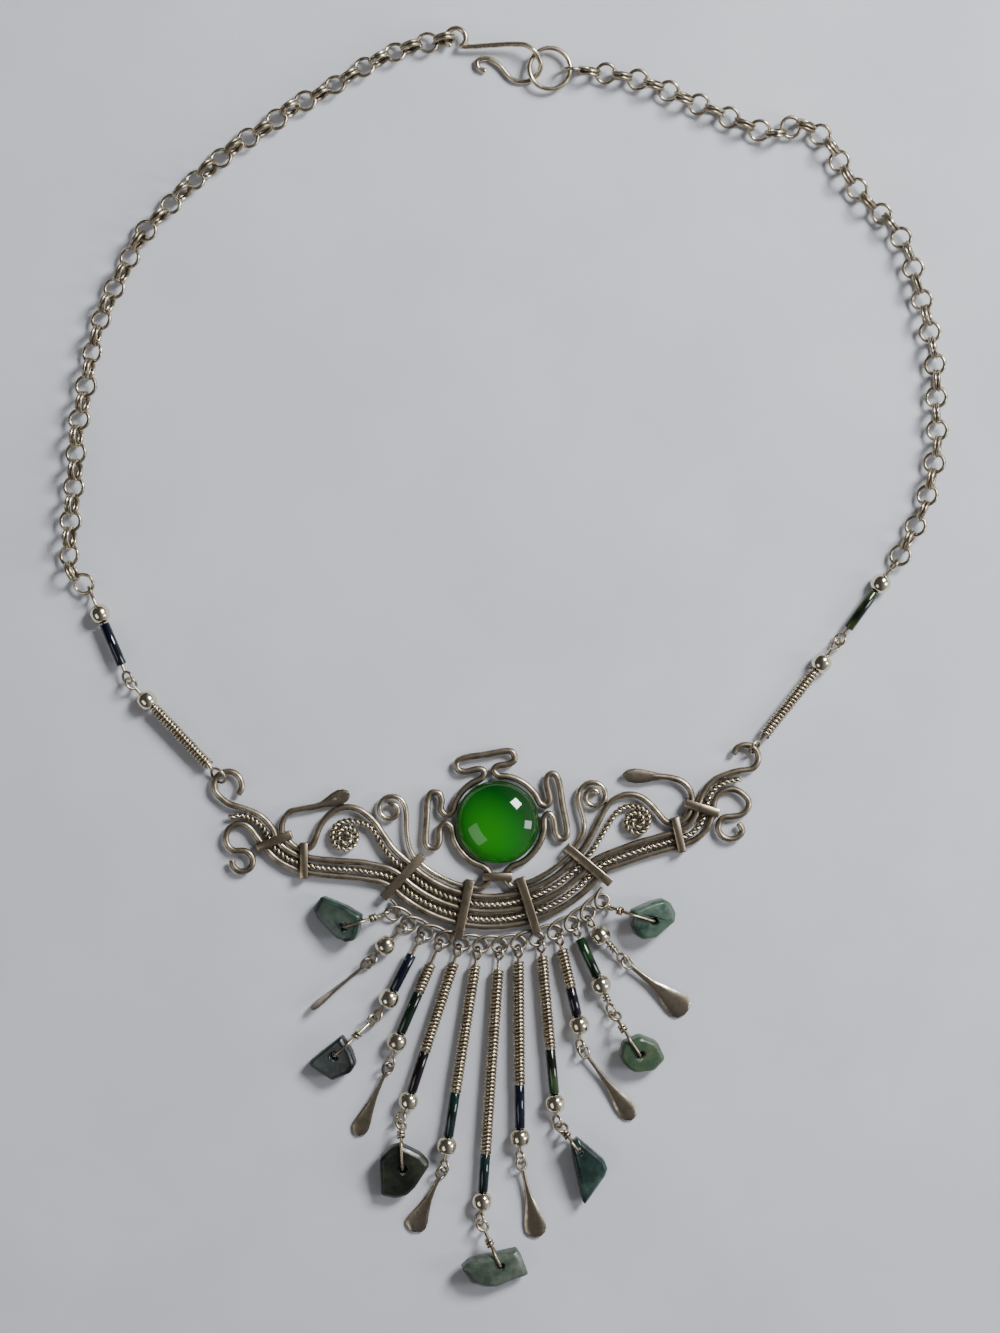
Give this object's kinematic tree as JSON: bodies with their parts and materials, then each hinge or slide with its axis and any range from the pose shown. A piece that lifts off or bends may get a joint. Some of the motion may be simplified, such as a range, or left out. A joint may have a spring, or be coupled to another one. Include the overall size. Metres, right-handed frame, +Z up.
{
  "type": "bib necklace",
  "caption": "Wire bib necklace lying open: ring chain, side bars, banded wire bib with curls round a domed glass stone, and a fringe of coils, beads, jade chips and paddles.",
  "frame": {"origin": "centre of the bounding box on the surface the necklace lies on", "axes": "+Z up from the surface, +Y towards the clasp, +X to the viewer's right when seen from above with the clasp at the top"},
  "size_m": [0.167, 0.2364, 0.0062],
  "materials": {
    "tarnished_alpaca": "tarnished alpaca wire with filed bright edges",
    "bright_alpaca": "polished alpaca wire, lightly scratched",
    "strap_alpaca": "hammered alpaca strip, brown-grey tarnish",
    "stem_alpaca": "wound alpaca wire, round bead and glass bugle on one wire",
    "chain_alpaca": "alpaca rings, silver with darker insides",
    "green_glass": "vivid green domed glass",
    "jade_01": "dark green jade, polished faces",
    "jade_03": "very dark green jade",
    "jade_05": "dark olive jade",
    "jade_07": "grey-green jade with a dark rim",
    "jade_09": "dark teal-green jade",
    "jade_11": "green jade with an olive patch",
    "jade_13": "mid-green mottled jade"
  },
  "bodies": {
    "root": {"outer_rail_wire": "tarnished_alpaca", "outer_twist_wire": "bright_alpaca", "eye_wire": "tarnished_alpaca", "inner_twist_wire": "bright_alpaca", "arch_wire": "tarnished_alpaca", "curl_wire_left": "bright_alpaca", "curl_wire_right": "bright_alpaca", "strap_a": "strap_alpaca", "strap_b": "strap_alpaca", "strap_c": "strap_alpaca", "strap_d": "strap_alpaca", "strap_e": "strap_alpaca", "strap_f": "strap_alpaca", "strap_g": "strap_alpaca", "strap_h": "strap_alpaca", "stone_frame_wire": "tarnished_alpaca", "neck_collar": "strap_alpaca", "glass_cabochon": "green_glass", "fringe_hanger_wire": "tarnished_alpaca", "stem_02": "stem_alpaca", "stem_03": "stem_alpaca", "stem_04": "stem_alpaca", "stem_05": "stem_alpaca", "stem_06": "stem_alpaca", "stem_07": "stem_alpaca", "stem_08": "stem_alpaca", "stem_09": "stem_alpaca", "stem_10": "stem_alpaca", "stem_11": "stem_alpaca", "stem_12": "stem_alpaca", "paddle_02": "bright_alpaca", "paddle_04": "bright_alpaca", "paddle_06": "bright_alpaca", "paddle_08": "bright_alpaca", "paddle_10": "bright_alpaca", "paddle_12": "bright_alpaca", "jade_chip_01": "jade_01", "chip_bail_01": "stem_alpaca", "jade_chip_03": "jade_03", "chip_bail_03": "stem_alpaca", "jade_chip_05": "jade_05", "chip_bail_05": "stem_alpaca", "jade_chip_07": "jade_07", "chip_bail_07": "stem_alpaca", "jade_chip_09": "jade_09", "chip_bail_09": "stem_alpaca", "jade_chip_11": "jade_11", "chip_bail_11": "stem_alpaca", "jade_chip_13": "jade_13", "chip_bail_13": "stem_alpaca", "bugle_bar_left": "stem_alpaca", "bugle_bar_right": "stem_alpaca", "coil_bar_left": "stem_alpaca", "coil_bar_right": "stem_alpaca", "clasp_hook": "bright_alpaca", "clasp_ring": "bright_alpaca", "chain_left_lower": "chain_alpaca", "chain_left_upper": "chain_alpaca", "chain_right_lower": "chain_alpaca", "chain_right_upper": "chain_alpaca"}
  },
  "joints": []
}
